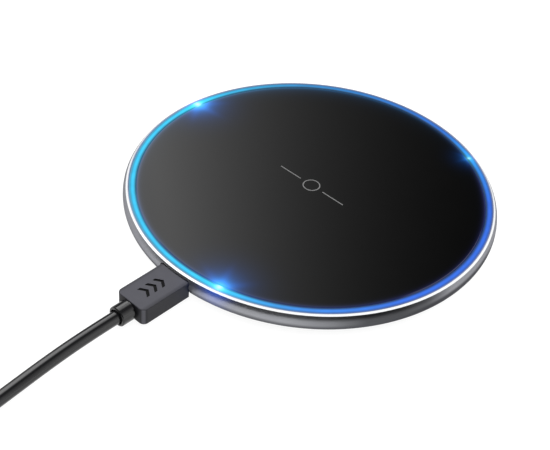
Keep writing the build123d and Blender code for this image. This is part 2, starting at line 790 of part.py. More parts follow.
def main():
    make_top_glass()
    make_glass_adhesive()
    make_light_ring()
    make_metal_shell()
    make_bottom_cover()
    make_foot_ring()
    make_cover_screws()
    make_main_board()
    make_board_parts()
    make_receptacle()
    make_transmit_coil()
    make_coil_leads()
    make_ferrite_plate()
    make_coil_carrier()
    make_thermal_pad()
    make_thermistor()
    make_pad_plug()
    make_cord()
    make_coil_tie()
    make_usb_a_plug()


main()
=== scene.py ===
"""Looks for the wireless charging pad: cord, printed mark, finishes, studio light and camera.

Metres, in the row's frame: +Z up, the pad's centre over the origin, its port towards -Y.
"""

import json
from math import cos, pi, radians, sin

import bmesh
import bpy
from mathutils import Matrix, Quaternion, Vector


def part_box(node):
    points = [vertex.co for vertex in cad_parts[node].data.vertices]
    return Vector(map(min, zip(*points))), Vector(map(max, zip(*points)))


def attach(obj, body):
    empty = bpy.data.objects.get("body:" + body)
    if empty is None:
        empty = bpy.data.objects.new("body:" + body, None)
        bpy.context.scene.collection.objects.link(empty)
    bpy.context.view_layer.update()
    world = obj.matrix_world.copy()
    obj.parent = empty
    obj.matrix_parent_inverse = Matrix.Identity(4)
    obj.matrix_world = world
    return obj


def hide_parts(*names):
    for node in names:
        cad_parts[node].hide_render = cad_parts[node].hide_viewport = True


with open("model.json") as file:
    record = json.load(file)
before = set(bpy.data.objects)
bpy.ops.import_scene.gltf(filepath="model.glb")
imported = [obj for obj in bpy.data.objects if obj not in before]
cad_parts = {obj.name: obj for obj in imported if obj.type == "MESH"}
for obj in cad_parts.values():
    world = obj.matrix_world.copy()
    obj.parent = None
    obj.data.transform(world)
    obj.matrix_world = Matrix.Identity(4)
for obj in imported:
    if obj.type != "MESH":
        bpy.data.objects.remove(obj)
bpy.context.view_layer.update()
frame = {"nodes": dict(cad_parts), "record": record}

MM = 0.001
NODES = frame["nodes"]

# ---- places read from the frame -------------------------------------------------------------
GLASS_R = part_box("top_glass")[1].x
GLASS_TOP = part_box("top_glass")[1].z
RING_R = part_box("light_ring")[1].x
SHELL_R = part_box("metal_shell")[1].x
SHELL_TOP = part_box("metal_shell")[1].z


def add_object(name, data):
    """A new object with that data, in the scene."""
    piece = bpy.data.objects.new(name, data)
    bpy.context.scene.collection.objects.link(piece)
    return piece


# ---- camera ---------------------------------------------------------------------------------
def make_camera():
    """Looks about 40 degrees down on the pad, with the plug at the left."""
    data = bpy.data.cameras.new("camera")
    data.lens = 77.2
    data.sensor_width = 36.0
    data.clip_start = 0.01
    camera = add_object("camera", data)
    place = Vector((153.46, -195.52, 203.35)) * MM
    aim = Vector((1.81, -15.73, 3.9)) * MM
    roll = Quaternion((0, 0, 1), radians(5.2))
    camera.location = place
    camera.rotation_mode = "QUATERNION"
    camera.rotation_quaternion = (aim - place).to_track_quat("-Z", "Y") @ roll
    bpy.context.scene.camera = camera


# ---- cord -----------------------------------------------------------------------------------
CORD_D = 3.4 * MM
# Routes and the winding are in millimetres.
RUN_ROUTE = [
    (0.0, -67.5, 4.2),
    (0.0, -77.5, 4.2),
    (0.1, -89.0, 3.5),
    (0.4, -102.0, 2.2),
    (1.2, -115.0, 1.75),
    (2.8, -127.0, 1.75),
    (4.4, -137.0, 1.9),
]
TAIL_ROUTE = [
    (-45.5, -139.5, 5.35),
    (-46.3, -133.0, 4.3),
    (-47.0, -127.8, 3.7),
    (-47.0, -122.5, 3.7),
]
WINDING_CENTRE = (-20.0, -146.0)
WINDING_OUT_R = 25.3
WINDING_IN_R = 12.2
LAYER_Z = (2.2, 5.6)
LAYER_TURNS = 3.75
POINTS_PER_TURN = 24
CLIMB = (-0.15, 0.3)  # the cord climbs to the upper layer over these turns about the middle
HOLD = 0.25  # turns at the inner radius after the middle


def smooth(t):
    """Eases from 0 to 1 as t goes from 0 to 1, and holds at both ends."""
    t = min(1.0, max(0.0, t))
    return t * t * (3 - 2 * t)


def winding_points():
    """Two layers: in along the lower one and out along the upper one, clockwise from above."""
    points = []
    spread = WINDING_OUT_R - WINDING_IN_R
    reach = 1 / cos(pi / POINTS_PER_TURN)  # a spline's turns run just inside its points
    for i in range(int(2 * LAYER_TURNS * POINTS_PER_TURN) + 1):
        turns = i / POINTS_PER_TURN
        past = turns - LAYER_TURNS
        if past < 0:
            radius = WINDING_IN_R - spread * past / LAYER_TURNS
        else:
            radius = WINDING_IN_R + spread * max(0.0, past - HOLD) / (LAYER_TURNS - HOLD)
        climb = smooth((past - CLIMB[0]) / (CLIMB[1] - CLIMB[0]))
        angle = -2 * pi * turns
        points.append(
            (
                WINDING_CENTRE[0] + reach * radius * cos(angle),
                WINDING_CENTRE[1] + reach * radius * sin(angle),
                LAYER_Z[0] + (LAYER_Z[1] - LAYER_Z[0]) * climb,
            )
        )
    return points


def make_cord():
    route = RUN_ROUTE + winding_points() + TAIL_ROUTE
    curve = bpy.data.curves.new("lead_cord", "CURVE")
    curve.dimensions = "3D"
    curve.bevel_depth = CORD_D / 2
    curve.bevel_resolution = 6
    curve.resolution_u = 6
    curve.use_fill_caps = True
    spline = curve.splines.new("NURBS")
    spline.points.add(len(route) - 1)
    for point, (x, y, z) in zip(spline.points, route):
        point.co = (x * MM, y * MM, z * MM, 1.0)
    spline.order_u = 3
    spline.use_endpoint_u = True
    spline.use_smooth = True
    cord = add_object("lead_cord", curve)
    cord.data.materials.append(cord_jacket())
    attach(cord, "cable")
    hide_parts("cord_run", "cord_coil", "cord_tail")


# ---- node helpers ---------------------------------------------------------------------------
class Tree:
    """A material's or world's node tree, with short ways to add nodes and link them."""

    def __init__(self, owner):
        owner.use_nodes = True
        self.tree = owner.node_tree
        self.tree.nodes.clear()

    def add(self, kind, **settings):
        node = self.tree.nodes.new(kind)
        for name, value in settings.items():
            setattr(node, name, value)
        return node

    def feed(self, socket, value):
        """Links a socket to another, or sets its value."""
        if isinstance(value, bpy.types.NodeSocket):
            self.tree.links.new(value, socket)
        elif value is not None:
            socket.default_value = value

    def math(self, operation, a, b=None, c=None):
        node = self.add("ShaderNodeMath", operation=operation)
        for socket, value in zip(node.inputs, (a, b, c)):
            self.feed(socket, value)
        return node.outputs[0]

    def ramp(self, value, low, high, to_low=0.0, to_high=1.0, soft=True):
        """Maps low..high to to_low..to_high, held at both ends."""
        node = self.add("ShaderNodeMapRange", interpolation_type="SMOOTHSTEP" if soft else "LINEAR")
        for name, number in (
            ("Value", value),
            ("From Min", low),
            ("From Max", high),
            ("To Min", to_low),
            ("To Max", to_high),
        ):
            self.feed(node.inputs[name], number)
        return node.outputs[0]

    def mix(self, share, a, b):
        node = self.add("ShaderNodeMix", data_type="RGBA")
        self.feed(node.inputs["Factor"], share)
        self.feed(node.inputs[6], rgba(a))
        self.feed(node.inputs[7], rgba(b))
        return node.outputs[2]

    def scaled(self, colour, amount):
        """A colour times a number."""
        node = self.add("ShaderNodeVectorMath", operation="SCALE")
        self.feed(node.inputs[0], colour)
        self.feed(node.inputs["Scale"], amount)
        return node.outputs[0]

    def summed(self, a, b):
        node = self.add("ShaderNodeVectorMath", operation="ADD")
        self.feed(node.inputs[0], a)
        self.feed(node.inputs[1], b)
        return node.outputs[0]

    def colour_ramp(self, value, stops):
        """A colour by a number from 0 to 1, from stops of (number, colour)."""
        node = self.add("ShaderNodeValToRGB")
        marks = node.color_ramp.elements
        marks[0].color = rgba(stops[0][1])
        marks[1].color = rgba(stops[-1][1])
        for at, colour in stops[1:-1]:
            marks.new(at).color = rgba(colour)
        self.feed(node.inputs[0], value)
        return node.outputs[0]

    def product(self, first, *others):
        for other in others:
            first = self.math("MULTIPLY", first, other)
        return first

    def place(self):
        """Position in the row's frame, as (vector, x, y, z) sockets."""
        spot = self.add("ShaderNodeTexCoord").outputs["Object"]
        parts = self.add("ShaderNodeSeparateXYZ")
        self.feed(parts.inputs[0], spot)
        return (spot, *parts.outputs)

    def noise(self, spot, size, detail=3.0):
        """Noise from 0 to 1 whose features are about size metres across."""
        node = self.add("ShaderNodeTexNoise")
        self.feed(node.inputs["Vector"], spot)
        node.inputs["Scale"].default_value = 1 / size
        node.inputs["Detail"].default_value = detail
        return node.outputs["Fac"]

    def bump(self, height, depth):
        node = self.add("ShaderNodeBump")
        node.inputs["Distance"].default_value = depth
        self.feed(node.inputs["Height"], height)
        return node.outputs[0]


def rgba(colour):
    """A colour with its alpha, or the socket it comes from."""
    if isinstance(colour, bpy.types.NodeSocket):
        return colour
    return (*colour[:3], 1.0)


def finish_surface(tree, colour, roughness, metallic=0.0, normal=None, glow=None, **extra):
    """Adds the Principled shader and the output. glow is an emission colour socket."""
    shader = tree.add("ShaderNodeBsdfPrincipled")
    tree.feed(shader.inputs["Base Color"], rgba(colour))
    tree.feed(shader.inputs["Roughness"], roughness)
    tree.feed(shader.inputs["Metallic"], metallic)
    tree.feed(shader.inputs["Normal"], normal)
    if glow is not None:
        tree.feed(shader.inputs["Emission Color"], glow)
        shader.inputs["Emission Strength"].default_value = 1.0
    for name, value in extra.items():
        tree.feed(shader.inputs[name.replace("_", " ")], value)
    output = tree.add("ShaderNodeOutputMaterial")
    tree.feed(output.inputs["Surface"], shader.outputs[0])


def grained(name, colour, roughness, grain, depth, mottle=0.12, metallic=0.0):
    """A finish with fine grain of that size and depth, and slow changes of tone and gloss."""
    material = bpy.data.materials.new(name)
    tree = Tree(material)
    spot = tree.place()[0]
    fine = tree.noise(spot, grain, 4.0)
    slow = tree.noise(spot, 14 * grain, 2.0)
    dark = [c * (1 - mottle) for c in colour]
    light = [min(1.0, c * (1 + mottle)) for c in colour]
    tone = tree.mix(slow, dark, light)
    gloss = tree.ramp(fine, 0.3, 0.7, roughness - 0.05, roughness + 0.05)
    normal = tree.bump(fine, depth) if depth else None
    finish_surface(tree, tone, gloss, metallic, normal)
    return material


# ---- light ring and glass -------------------------------------------------------------------
SPARKS = ((63.2, 0.5), (176.3, 1.0), (284.2, 0.95))  # each LED's angle from +X, and its strength
SPARK_R = 47.4 * MM
# The ring's light, as (degrees round from +X, colour).
RING_LIGHT = (
    (180, (0.02, 0.60, 0.95)),
    (277, (0.02, 0.57, 0.95)),
    (310, (0.035, 0.24, 0.80)),
    (340, (0.025, 0.14, 0.80)),
    (400, (0.020, 0.125, 0.76)),
    (423, (0.025, 0.30, 0.85)),
    (440, (0.020, 0.145, 0.66)),
    (461, (0.018, 0.155, 0.58)),
    (497, (0.022, 0.24, 0.56)),
    (540, (0.02, 0.60, 0.95)),
)
# The painted glow that stands for the light it throws on the glass's edge, in the same way.
HALO_LIGHT = (
    (180, (0.08, 0.18, 0.36)),
    (225, (0.10, 0.15, 0.30)),
    (255, (0.06, 0.12, 0.26)),
    (300, (0.04, 0.06, 0.16)),
    (345, (0.015, 0.02, 0.09)),
    (375, (0.010, 0.012, 0.07)),
    (405, (0.03, 0.035, 0.14)),
    (450, (0.015, 0.06, 0.15)),
    (480, (0.01, 0.09, 0.24)),
    (510, (0.02, 0.16, 0.33)),
    (540, (0.08, 0.18, 0.36)),
)
HALO_DEPTH = 0.4 * MM
HAZE_DEPTH = 1.8 * MM  # a fainter, broader band of painted glow, strongest about HAZE_MIDDLE
HAZE_MIDDLE = radians(150)
HAZE_SPAN = 38 * MM
HAZE = (0.008, 0.042, 0.10)
# Round glows over each LED, as (size, colour), on the glass, where they are painted, and on the
# ring.
GLASS_GLOWS = (
    (8.5 * MM, (0.002, 0.028, 0.12)),
    (4.4 * MM, (0.006, 0.10, 0.4)),
    (2.3 * MM, (0.03, 0.45, 1.2)),
)
RING_GLOWS = (
    (6.0 * MM, (0.0, 0.2, 0.3)),
    (2.0 * MM, (0.1, 0.35, 0.35)),
    (0.85 * MM, (0.6, 0.95, 0.95)),
)
# Painted rays of glow from each LED across the glass: headings in degrees from outwards, length,
# width, colour.
GLASS_RAYS = ((-50, 8, 58), 5.2 * MM, 1.1 * MM, (0.005, 0.05, 0.26))


def angle_from(tree, x, y, start):
    """The angle round the pad, 0 to 2 pi, anticlockwise from a start."""
    ahead = tree.math("MULTIPLY_ADD", x, cos(start), tree.math("MULTIPLY", y, sin(start)))
    aside = tree.math("MULTIPLY_ADD", y, cos(start), tree.math("MULTIPLY", x, -sin(start)))
    return tree.math("FLOORED_MODULO", tree.math("ARCTAN2", aside, ahead), 2 * pi)


def by_angle(tree, x, y, stops):
    """A colour by the angle round the pad, from stops of (degrees, colour) over one turn."""
    start = stops[0][0]
    turn = tree.math("DIVIDE", angle_from(tree, x, y, radians(start)), 2 * pi)
    return tree.colour_ramp(turn, [((angle - start) / 360, colour) for angle, colour in stops])


def around(tree, spot, centre, size):
    """1 at a centre and falling off over size: a bell curve of the distance."""
    away = tree.add("ShaderNodeVectorMath", operation="DISTANCE")
    tree.feed(away.inputs[0], spot)
    away.inputs[1].default_value = centre
    ratio = tree.math("DIVIDE", away.outputs["Value"], size)
    return tree.math("EXPONENT", tree.product(ratio, ratio, -1.0))


def ray(tree, x, y, centre, heading, long, thin):
    """Like around, but stretched along a heading."""
    off_x, off_y = tree.math("SUBTRACT", x, centre[0]), tree.math("SUBTRACT", y, centre[1])
    turned = []
    for angle, size in ((heading, long), (heading + pi / 2, thin)):
        along = tree.math("MULTIPLY", off_x, cos(angle) / size)
        along = tree.math("MULTIPLY_ADD", off_y, sin(angle) / size, along)
        turned.append(tree.math("MULTIPLY", along, along))
    return tree.math("EXPONENT", tree.math("MULTIPLY", tree.math("ADD", *turned), -1.0))


def sparks(tree, place, levels, rays=None):
    """Light round the three LEDs: levels are (size, colour), and rays are as in GLASS_RAYS."""
    spot, x, y, _ = place
    total = None
    for angle, strength in SPARKS:
        at = (SPARK_R * cos(radians(angle)), SPARK_R * sin(radians(angle)), GLASS_TOP)
        glows = [(around(tree, spot, at, size * strength), colour) for size, colour in levels]
        if rays:
            headings, long, thin, colour = rays
            for heading in headings:
                turned = radians(angle + heading)
                amount = ray(tree, x, y, at, turned, long * strength, thin * strength)
                glows.append((amount, colour))
        for amount, colour in glows:
            glow = tree.scaled([c * strength for c in colour], amount)
            total = glow if total is None else tree.summed(total, glow)
    return total


def radius_of(tree, x, y):
    """The length of (x, y)."""
    square = tree.math("ADD", tree.math("MULTIPLY", x, x), tree.math("MULTIPLY", y, y))
    return tree.math("SQRT", square)


def black_glass():
    """Polished black glass, with painted glow along its edge from the ring's light, and painted
    glows and rays over the LEDs.
    """
    material = bpy.data.materials.new("black_glass")
    tree = Tree(material)
    place = tree.place()
    spot, x, y, _ = place
    edge = tree.math("SUBTRACT", GLASS_R, radius_of(tree, x, y))
    near = tree.math("EXPONENT", tree.math("DIVIDE", edge, -HALO_DEPTH))
    halo = tree.scaled(by_angle(tree, x, y, HALO_LIGHT), near)
    broad = tree.math("EXPONENT", tree.math("DIVIDE", edge, -HAZE_DEPTH))
    at = (GLASS_R * cos(HAZE_MIDDLE), GLASS_R * sin(HAZE_MIDDLE), GLASS_TOP)
    haze = tree.scaled(HAZE, tree.product(broad, around(tree, spot, at, HAZE_SPAN)))
    flash = sparks(tree, place, GLASS_GLOWS, GLASS_RAYS)
    faint = tree.noise(spot, 9 * MM, 2.0)
    tone = tree.mix(faint, (0.0002, 0.0002, 0.0002), (0.0005, 0.0005, 0.0005))
    gloss = tree.ramp(tree.noise(spot, 2.5 * MM, 3.0), 0.3, 0.7, 0.035, 0.05)
    glow = tree.summed(tree.summed(halo, haze), flash)
    finish_surface(tree, tone, gloss, glow=glow, IOR=1.52)
    return material


LIGHT_SHIFT = 0.14 * MM  # the light lies this much further out on the +X side, and in on the other
# Its fade inwards and outwards: (from, to, level there, level here), from the middle of the light.
INNER_FADE = (-0.88 * MM, -0.05 * MM, 0.1, 1.0)
OUTER_FADE = (0.12 * MM, 0.95 * MM, 1.0, 0.35)
PALE_RIM = (0.085, 0.085, 0.085)  # added along the ring's outer edge, over RIM_SPAN
RIM_SPAN = (0.55 * MM, 0.9 * MM)


def lit_guide():
    """Clear plastic lit from below, brightest along its middle and over the LEDs."""
    material = bpy.data.materials.new("light_guide")
    tree = Tree(material)
    place = tree.place()
    spot, x, y, _ = place
    middle = tree.math("MULTIPLY_ADD", x, LIGHT_SHIFT / RING_R, (GLASS_R + RING_R) / 2)
    off = tree.math("SUBTRACT", radius_of(tree, x, y), middle)
    uneven = tree.ramp(tree.noise(spot, 3.5 * MM, 2.0), 0.25, 0.75, 0.92, 1.08)
    body = tree.product(tree.ramp(off, *INNER_FADE), tree.ramp(off, *OUTER_FADE), uneven)
    base = tree.scaled(by_angle(tree, x, y, RING_LIGHT), body)
    rim = tree.scaled(PALE_RIM, tree.ramp(off, *RIM_SPAN))
    glow = tree.summed(tree.summed(base, rim), sparks(tree, place, RING_GLOWS))
    finish_surface(tree, (0.01, 0.02, 0.03), 0.3, glow=glow, Specular_IOR_Level=0.2)
    return material


# ---- metals ---------------------------------------------------------------------------------
# The bright cut edge begins between these radii, outside the lip that the ring lights, and ends
# between these depths below the top.
CUT_SPAN = (SHELL_R - 1.35 * MM, SHELL_R - 1.27 * MM)
CUT_DROP = (0.34 * MM, 0.3 * MM)
CUT_COLOUR = (0.93, 0.94, 0.95)
# painted glow of the ring's light on the lip inside the cut edge
LIP_GLOW = (0.13, 0.17, 0.31)
# painted glow of the LEDs on the shell, as (size, colour)
SHELL_GLOWS = ((3.6 * MM, (0.005, 0.09, 0.6)),)
BLASTED = ((0.286, 0.290, 0.312), (0.325, 0.330, 0.350))  # its darker and lighter tones
# Painted shade on the shell, darker towards the bottom and much darker between about 310 and 360
# degrees round, as (degrees round from +X, (above, below, height between as a share)).
SHELL_PAINTED_SHADE = (
    (100, (1.00, 0.52, 0.69)),
    (205, (0.92, 0.48, 0.69)),
    (290, (1.00, 0.52, 0.64)),
    (305, (0.98, 0.46, 0.62)),
    (316, (0.70, 0.38, 0.60)),
    (328, (0.25, 0.30, 0.64)),
    (338, (0.24, 0.24, 0.68)),
    (347, (0.34, 0.20, 0.74)),
    (357, (0.95, 0.25, 0.79)),
    (375, (1.00, 0.26, 0.82)),
    (390, (1.00, 0.38, 0.75)),
    (460, (1.00, 0.52, 0.69)),
)
# how far the painted shade fades from below to above
PAINTED_SHADE_FADE = 0.55 * MM


def gunmetal():
    """Bead-blasted shell whose top edge is cut bright, with painted shade by angle and height, and
    painted glow on its lip and near the LEDs.
    """
    material = bpy.data.materials.new("gunmetal_aluminium")
    tree = Tree(material)
    place = tree.place()
    spot, x, y, z = place
    grain = tree.noise(spot, 0.16 * MM, 4.0)
    blasted = tree.mix(tree.noise(spot, 6 * MM, 2.0), *BLASTED)
    parts = tree.add("ShaderNodeSeparateXYZ")
    # painted shade, by the angle round the pad and the height
    tree.feed(parts.inputs[0], by_angle(tree, x, y, SHELL_PAINTED_SHADE))
    above, below, share = parts.outputs
    rise = tree.math("MULTIPLY_ADD", share, -SHELL_TOP, z)
    tone = tree.ramp(rise, -PAINTED_SHADE_FADE, PAINTED_SHADE_FADE, below, above)
    outside = tree.ramp(radius_of(tree, x, y), *CUT_SPAN)
    high = tree.ramp(z, SHELL_TOP - CUT_DROP[0], SHELL_TOP - CUT_DROP[1])
    bright = tree.product(outside, high)
    colour = tree.mix(bright, tree.scaled(blasted, tone), CUT_COLOUR)
    rough = tree.ramp(grain, 0.3, 0.7, 0.36, 0.44)
    gloss = tree.product(rough, tree.ramp(bright, 0.0, 1.0, 1.0, 0.4))
    depth = tree.product(grain, tree.ramp(bright, 0.0, 1.0, 1.0, 0.0))
    # painted glow on the lip and near the LEDs
    lip = tree.scaled(LIP_GLOW, tree.product(high, tree.math("SUBTRACT", 1.0, outside)))
    glow = tree.summed(lip, sparks(tree, place, SHELL_GLOWS))
    normal = tree.bump(depth, 0.006 * MM)
    finish_surface(tree, colour, gloss, 1.0, normal, glow, Specular_Tint=(0.5, 0.5, 0.52, 1.0))
    return material


def plated(name, colour, roughness):
    """Plated or polished metal with a very fine grain."""
    return grained(name, colour, roughness, 0.3 * MM, 0.001 * MM, 0.05, 1.0)


# ---- plastics, rubber and the rest ----------------------------------------------------------
# How much the jacket mirrors, set by the upward part of its normal as painted reflection: a painted
# highlight on top, painted dark bands beside it and lighter sides.
JACKET_PAINTED_REFLECTION = (
    (0.0, 0.28),
    (0.2, 0.28),
    (0.53, 0.5),
    (0.74, 0.22),
    (0.84, 0.03),
    (0.93, 0.03),
    (0.965, 0.55),
    (0.985, 1.0),
    (1.0, 1.0),
)


def facing(tree):
    """The surface's normal in the row's frame, as x, y and z sockets."""
    parts = tree.add("ShaderNodeSeparateXYZ")
    tree.feed(parts.inputs[0], tree.add("ShaderNodeTexCoord").outputs["Normal"])
    return parts.outputs


def cord_jacket():
    """Smooth black jacket, with a painted highlight along its top between two painted dark bands.
    """
    material = bpy.data.materials.new("cord_jacket")
    tree = Tree(material)
    spot = tree.place()[0]
    tone = tree.mix(tree.noise(spot, 3 * MM, 2.0), (0.004, 0.004, 0.0045), (0.005, 0.005, 0.0055))
    stops = [(upward, (level, level, level)) for upward, level in JACKET_PAINTED_REFLECTION]
    # painted reflection, by which way the surface faces
    painted_reflection = tree.colour_ramp(facing(tree)[2], stops)
    gloss = tree.ramp(tree.noise(spot, 0.25 * MM, 4.0), 0.3, 0.7, 0.13, 0.19)
    finish_surface(tree, tone, gloss, IOR=1.65, Specular_IOR_Level=painted_reflection)
    return material


PLUG_TONES = ((0.045, 0.045, 0.052), (0.051, 0.051, 0.059))
PLUG_SIDE_SHADE = 0.45  # painted shade: tone of its sides and ends, where its top is 1
PLUG_EDGE_SHADE = 0.68  # painted shade: tone of its top along its long edges
EDGE_SHADE_IN = (1.3 * MM, 0.3 * MM)  # that painted shade comes in between these distances from its sides
PLUG_CORNER_HIGHLIGHT = 3.8  # painted highlight: how much lighter its upright corners are than its sides
CORNER_TURN = (0.3, 0.5)  # from side to the corner's painted highlight, by the normal's x times its y
TOP_TURN = (0.3, 0.95)  # from the side's painted shade to the top, by the normal's upward part
END_TURN = (-0.9, -0.6)  # from the end with the collar, where shade is painted, to the sides, by the normal's y
COLLAR_R = 2.65 * MM
COLLAR_SHADE = 0.4  # painted shade: tone of that end beside the collar
SHADE_W = 1.1 * MM
MARKS_IN = 1.2 * MM  # the sunk marks lie this far inside its outline
MARKS_SOFT = 0.05 * MM
MARKS_TOP = (0.12 * MM, 0.04 * MM)  # below its top, where their black ends
MARKS_FLOOR = (0.3 * MM, 0.28 * MM)  # and where it begins
MARKS_BLACK = (0.003, 0.003, 0.003)
# painted glow of the LEDs on the plug, as (size, colour)
PLUG_GLOWS = ((6.5 * MM, (0.0, 0.015, 0.08)),)


def plug_plastic(node):
    """Satin moulding with painted shade at its sides, along its top's long edges and round its
    collar, a painted highlight on its upright corners and painted glow from the LEDs; its sunk
    marks printed black.
    """
    low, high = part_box(node)
    middle = (low + high) / 2
    half = high.x - middle.x
    material = bpy.data.materials.new(node + "_plastic")
    tree = Tree(material)
    place = tree.place()
    spot, x, y, z = place
    across, along, upward = facing(tree)
    off = tree.math("ABSOLUTE", tree.math("SUBTRACT", x, middle.x))
    rise = tree.math("SUBTRACT", z, middle.z)
    # painted shade on the sides, along the top's long edges and beside the collar, and a painted
    # highlight on the upright corners
    edge = tree.ramp(off, half - EDGE_SHADE_IN[0], half - EDGE_SHADE_IN[1], 1.0, PLUG_EDGE_SHADE)
    turn = tree.math("ABSOLUTE", tree.product(across, along))
    side = tree.product(tree.ramp(turn, *CORNER_TURN, 1.0, PLUG_CORNER_HIGHLIGHT), PLUG_SIDE_SHADE)
    out = radius_of(tree, off, rise)
    shade = tree.ramp(out, COLLAR_R, COLLAR_R + SHADE_W, COLLAR_SHADE, 1.0)
    shade = tree.ramp(along, *END_TURN, shade, 1.0)
    level = tree.product(tree.ramp(upward, *TOP_TURN, side, edge), shade)
    tone = tree.scaled(tree.mix(tree.noise(spot, 2 * MM, 2.0), *PLUG_TONES), level)
    marked = tree.product(
        tree.ramp(off, half - MARKS_IN, half - MARKS_IN + MARKS_SOFT, 1.0, 0.0),
        tree.ramp(y, low.y + MARKS_IN, low.y + MARKS_IN + MARKS_SOFT),
        tree.ramp(y, high.y - MARKS_IN - MARKS_SOFT, high.y - MARKS_IN, 1.0, 0.0),
        tree.ramp(z, high.z - MARKS_TOP[0], high.z - MARKS_TOP[1], 1.0, 0.0),
        tree.ramp(z, high.z - MARKS_FLOOR[0], high.z - MARKS_FLOOR[1]),
    )
    tone = tree.mix(marked, tone, MARKS_BLACK)
    fine = tree.noise(spot, 0.14 * MM, 4.0)
    gloss = tree.ramp(fine, 0.3, 0.7, 0.4, 0.5)
    normal = tree.bump(fine, 0.003 * MM)
    # painted glow of the LEDs
    glow = sparks(tree, place, PLUG_GLOWS)
    finish_surface(tree, tone, gloss, normal=normal, glow=glow, Specular_IOR_Level=0.1)
    return material


def board_laminate():
    """Green solder mask over a faint pattern of tracks."""
    material = bpy.data.materials.new("board_laminate")
    tree = Tree(material)
    spot = tree.place()[0]
    cells = tree.add("ShaderNodeTexVoronoi", feature="DISTANCE_TO_EDGE")
    tree.feed(cells.inputs["Vector"], spot)
    cells.inputs["Scale"].default_value = 1 / (2.2 * MM)
    track = tree.ramp(cells.outputs["Distance"], 0.04, 0.07, 1.0, 0.0)
    tone = tree.mix(track, (0.006, 0.07, 0.03), (0.02, 0.16, 0.07))
    finish_surface(tree, tone, 0.3, normal=tree.bump(track, 0.03 * MM))
    return material


def copper_wire():
    """Enamelled copper, uneven as fine strands are."""
    material = bpy.data.materials.new("copper_wire")
    tree = Tree(material)
    strand = tree.noise(tree.place()[0], 0.25 * MM, 3.0)
    tone = tree.mix(strand, (0.36, 0.12, 0.04), (0.72, 0.31, 0.12))
    finish_surface(tree, tone, 0.32, 0.85, tree.bump(strand, 0.03 * MM), Coat_Weight=0.6)
    return material


# Finishes with no more than grain: colour, roughness, grain size and its depth in mm, and mottle.
GRAINED = {
    "adhesive": ((0.02, 0.02, 0.02), 0.6, 0.2, 0.01, 0.12),
    "cover_plastic": ((0.024, 0.024, 0.026), 0.55, 0.2, 0.02, 0.12),
    "foot_rubber": ((0.05, 0.05, 0.052), 0.7, 0.3, 0.02, 0.12),
    "led_white": ((0.8, 0.85, 0.88), 0.3, 0.3, 0.005, 0.05),
    "chip_plastic": ((0.018, 0.018, 0.019), 0.45, 0.1, 0.008, 0.12),
    "capacitor_ceramic": ((0.33, 0.21, 0.11), 0.4, 0.2, 0.005, 0.12),
    "inductor_ferrite": ((0.04, 0.04, 0.042), 0.5, 0.15, 0.01, 0.12),
    "insert_plastic": ((0.018, 0.018, 0.019), 0.4, 0.2, 0.005, 0.12),
    "carrier_plastic": ((0.5, 0.49, 0.45), 0.45, 0.3, 0.01, 0.12),
    "thermal_silicone": ((0.3, 0.36, 0.44), 0.65, 0.3, 0.02, 0.12),
    "sensor_glass": ((0.35, 0.12, 0.03), 0.12, 0.4, 0.0, 0.12),
    "tie_plastic": ((0.015, 0.015, 0.016), 0.5, 0.25, 0.02, 0.12),
    "usb_a_white": ((0.72, 0.72, 0.7), 0.4, 0.3, 0.005, 0.04),
}
PLATED = {
    "screw_steel": ((0.12, 0.12, 0.13), 0.35),
    "contact_steel": ((0.62, 0.62, 0.62), 0.22),
    "gold_contacts": ((0.9, 0.62, 0.24), 0.2),
}


def make_finishes():
    """The material of each slot in the record."""
    finishes = {
        "black_glass": black_glass(),
        "light_guide": lit_guide(),
        "gunmetal_aluminium": gunmetal(),
        "board_laminate": board_laminate(),
        "copper_wire": copper_wire(),
        "plug_plastic": plug_plastic("pad_plug_body"),
        "cord_jacket": cord_jacket(),
    }
    for name, (colour, roughness, grain, depth, mottle) in GRAINED.items():
        finishes[name] = grained(name, colour, roughness, grain * MM, depth * MM, mottle)
    for name, (colour, roughness) in PLATED.items():
        finishes[name] = plated(name, colour, roughness)
    return finishes


def dress_nodes(finishes):
    """Gives each CAD node the finish of its slot. The USB-A body has marks of its own."""
    for entry in frame["record"]["subparts"]:
        piece = NODES[entry["node"]]
        piece.data.materials.clear()
        piece.data.materials.append(finishes[entry["material_slot"]])
    NODES["usb_a_body"].data.materials[0] = plug_plastic("usb_a_body")


# ---- printed mark on the glass --------------------------------------------------------------
MARK_LINE = 0.32 * MM
MARK_RING_R = 2.4 * MM
MARK_ARM = (3.9 * MM, 11.2 * MM)  # each arm runs between these distances from the centre
MARK_LIFT = 0.012 * MM
MARK_SIDES = 96


def make_centre_mark():
    """Where the phone's middle goes: a thin ring with an arm each side, printed on the glass."""
    mesh = bmesh.new()
    top = GLASS_TOP + MARK_LIFT
    inner, outer = [], []
    for i in range(MARK_SIDES):
        angle = 2 * pi * i / MARK_SIDES
        for ring, r in ((inner, MARK_RING_R - MARK_LINE), (outer, MARK_RING_R)):
            ring.append(mesh.verts.new((r * cos(angle), r * sin(angle), top)))
    for i in range(MARK_SIDES):
        j = (i + 1) % MARK_SIDES
        mesh.faces.new((inner[i], outer[i], outer[j], inner[j]))
    for side in (-1, 1):
        x0, x1 = sorted((side * MARK_ARM[0], side * MARK_ARM[1]))
        h = MARK_LINE / 2
        corners = ((x0, -h), (x1, -h), (x1, h), (x0, h))
        mesh.faces.new([mesh.verts.new((x, y, top)) for x, y in corners])
    data = bpy.data.meshes.new("centre_mark")
    mesh.to_mesh(data)
    mesh.free()
    mark = add_object("centre_mark", data)
    thickness = mark.modifiers.new("ink", "SOLIDIFY")
    thickness.thickness = MARK_LIFT
    thickness.offset = -1
    mark.data.materials.append(grained("grey_ink", (0.09, 0.09, 0.09), 0.5, 0.2 * MM, 0.0))
    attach(mark, "pad")


# ---- studio ---------------------------------------------------------------------------------
FLOOR_HALF = 3.0
FLOOR_Z = -0.05 * MM
FLOOR_GLOW = 0.93
FLOOR_TONES = ((0.14, 0.14, 0.14), (0.155, 0.155, 0.155))


